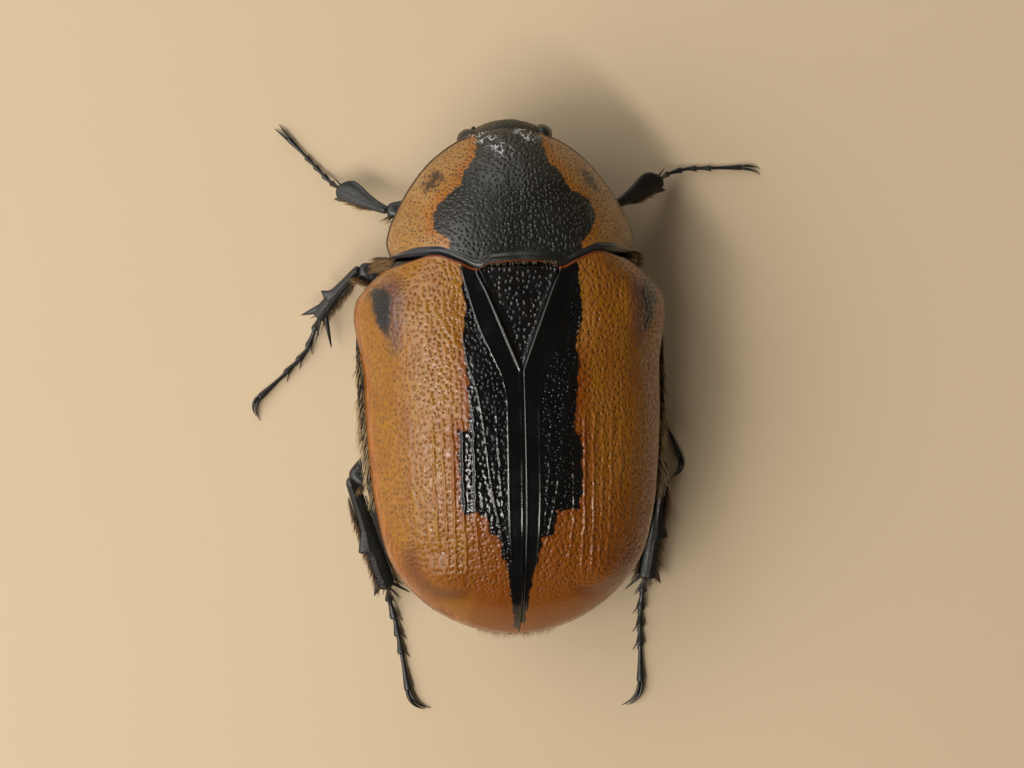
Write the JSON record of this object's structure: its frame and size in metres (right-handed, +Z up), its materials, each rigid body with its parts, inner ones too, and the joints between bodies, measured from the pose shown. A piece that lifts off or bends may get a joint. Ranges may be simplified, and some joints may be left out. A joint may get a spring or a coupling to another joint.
{
  "type": "cowboy beetle model",
  "caption": "Life-size still model of a flower chafer beetle, standing on its legs with wing cases closed and head bent down.",
  "frame": {"origin": "on the floor that the feet rest on, under the centre of the whole box", "axes": "+Y runs from head to tail, so the head points to -Y; +Z is up; +X is the beetle's left side"},
  "size_m": [0.024, 0.0272, 0.0097],
  "materials": {
    "black_shell": "satin black shell with dense shiny punctures",
    "tan_shell": "tan-orange shell with black markings, ribs and punctures, soft gloss",
    "under_shell": "black underside, finely pitted, with pale golden hair at the sides",
    "leg_shell": "black glossy leg shell with short bristles",
    "eye": "dark glossy eye with fine facets"
  },
  "bodies": {
    "root": {"head": "black_shell", "eye_left": "eye", "eye_right": "eye", "antenna_left": "leg_shell", "antenna_right": "leg_shell", "palp_left": "leg_shell", "palp_right": "leg_shell", "pronotum": "tan_shell", "prosternum": "under_shell", "scutellum": "black_shell", "elytron_left": "tan_shell", "elytron_right": "tan_shell", "mesepimeron_left": "black_shell", "mesepimeron_right": "black_shell", "pterothorax": "under_shell", "abdomen": "under_shell", "pygidium": "under_shell", "coxa_front_left": "leg_shell", "coxa_front_right": "leg_shell", "coxa_mid_left": "leg_shell", "coxa_mid_right": "leg_shell", "coxa_hind_left": "leg_shell", "coxa_hind_right": "leg_shell", "femur_front_left": "leg_shell", "femur_front_right": "leg_shell", "femur_mid_left": "leg_shell", "femur_mid_right": "leg_shell", "femur_hind_left": "leg_shell", "femur_hind_right": "leg_shell", "tibia_front_left": "leg_shell", "tibia_front_right": "leg_shell", "tibia_mid_left": "leg_shell", "tibia_mid_right": "leg_shell", "tibia_hind_left": "leg_shell", "tibia_hind_right": "leg_shell", "tarsus_front_left": "leg_shell", "tarsus_front_right": "leg_shell", "tarsus_mid_left": "leg_shell", "tarsus_mid_right": "leg_shell", "tarsus_hind_left": "leg_shell", "tarsus_hind_right": "leg_shell"}
  },
  "joints": []
}
